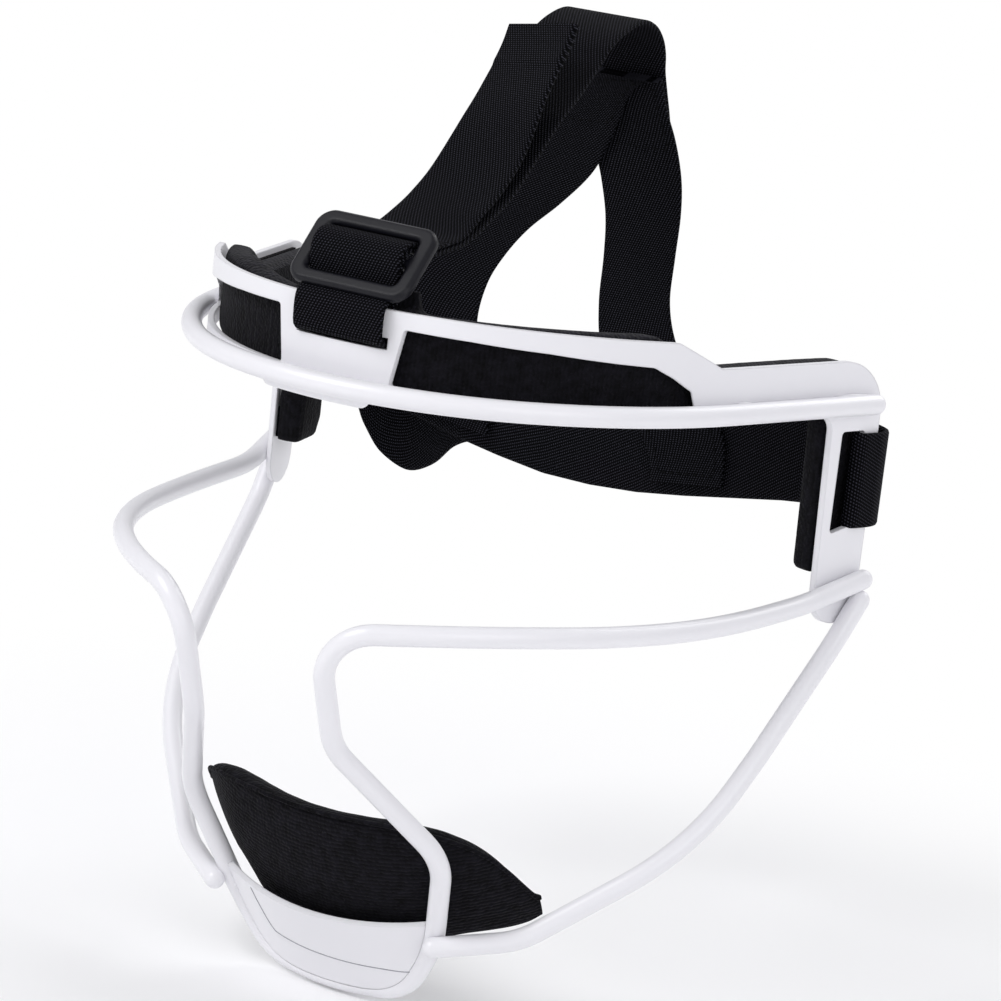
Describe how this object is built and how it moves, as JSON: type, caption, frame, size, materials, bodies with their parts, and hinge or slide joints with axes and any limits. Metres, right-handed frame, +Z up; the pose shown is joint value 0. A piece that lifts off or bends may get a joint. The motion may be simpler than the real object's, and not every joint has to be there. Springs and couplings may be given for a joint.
{
  "type": "softball face guard",
  "caption": "Wire cage face guard with a padded sheet brow band, chin cup and elastic head harness with a slide buckle.",
  "frame": {"origin": "level with the cheek wire, in the middle plane, under the centre of the brow band's front arc", "axes": "+Z up, -Y forward out of the face opening, +X to the wearer's left"},
  "size_m": [0.1938, 0.1647, 0.2519],
  "materials": {
    "steel_white": "smooth white powder coat, satin gloss",
    "pad_knit": "black knitted cover over closed-cell foam",
    "webbing": "black elastic webbing with a fine diagonal rib",
    "slide_plastic": "moulded black, satin",
    "hook_strip": "black hook-and-loop strip"
  },
  "bodies": {
    "frame": {"brow_band": "steel_white", "brow_wire": "steel_white", "brow_rod": "steel_white", "cage_wire": "steel_white", "jaw_wire_left": "steel_white", "jaw_wire_right": "steel_white", "chin_plate": "steel_white", "chin_tape": "hook_strip", "forehead_tape": "hook_strip", "temple_strip_left": "hook_strip", "temple_strip_right": "hook_strip", "plate_tape_left": "hook_strip", "plate_tape_right": "hook_strip", "tri_glide": "slide_plastic", "front_loop": "webbing", "rear_wrap_left": "webbing", "rear_wrap_right": "webbing"},
    "forehead_cushion": {"forehead_pad": "pad_knit"},
    "temple_cushion_left": {"temple_pad_left": "pad_knit"},
    "temple_cushion_right": {"temple_pad_right": "pad_knit"},
    "chin_cushion": {"chin_pad": "pad_knit"},
    "strap_end": {"crown_tail": "webbing"},
    "harness": {"rear_strap": "webbing", "rear_slack": "webbing", "crown_fold": "webbing", "crown_leg_left": "webbing", "crown_leg_right": "webbing", "crown_run": "webbing", "rear_span_left": "webbing", "rear_span_right": "webbing"}
  },
  "joints": [
    {"name": "harness_stretch", "type": "slide", "parent": "frame", "child": "harness", "axis": [0, 1, 0], "range_m": [0, 0.025], "stiffness_N_per_m": 300, "deforming": ["crown_run", "rear_span_left", "rear_span_right"]},
    {"name": "strap_end_lift", "type": "hinge", "parent": "frame", "child": "strap_end", "pos_m": [0, -0.048, 0.09005], "axis": [1, 0, 0], "range_deg": [0, 35], "stiffness_Nm_per_rad": 0.01},
    {"name": "forehead_pull", "type": "slide", "parent": "frame", "child": "forehead_cushion", "axis": [0, 1, 0], "range_m": [0, 0.012]},
    {"name": "temple_pull_left", "type": "slide", "parent": "frame", "child": "temple_cushion_left", "axis": [-0.9659, 0.2588, 0], "range_m": [0, 0.008]},
    {"name": "temple_pull_right", "type": "slide", "parent": "frame", "child": "temple_cushion_right", "axis": [0.9659, 0.2588, 0], "range_m": [0, 0.008]},
    {"name": "chin_pull", "type": "slide", "parent": "frame", "child": "chin_cushion", "axis": [0, 0.866, 0.5], "range_m": [0, 0.012]}
  ]
}
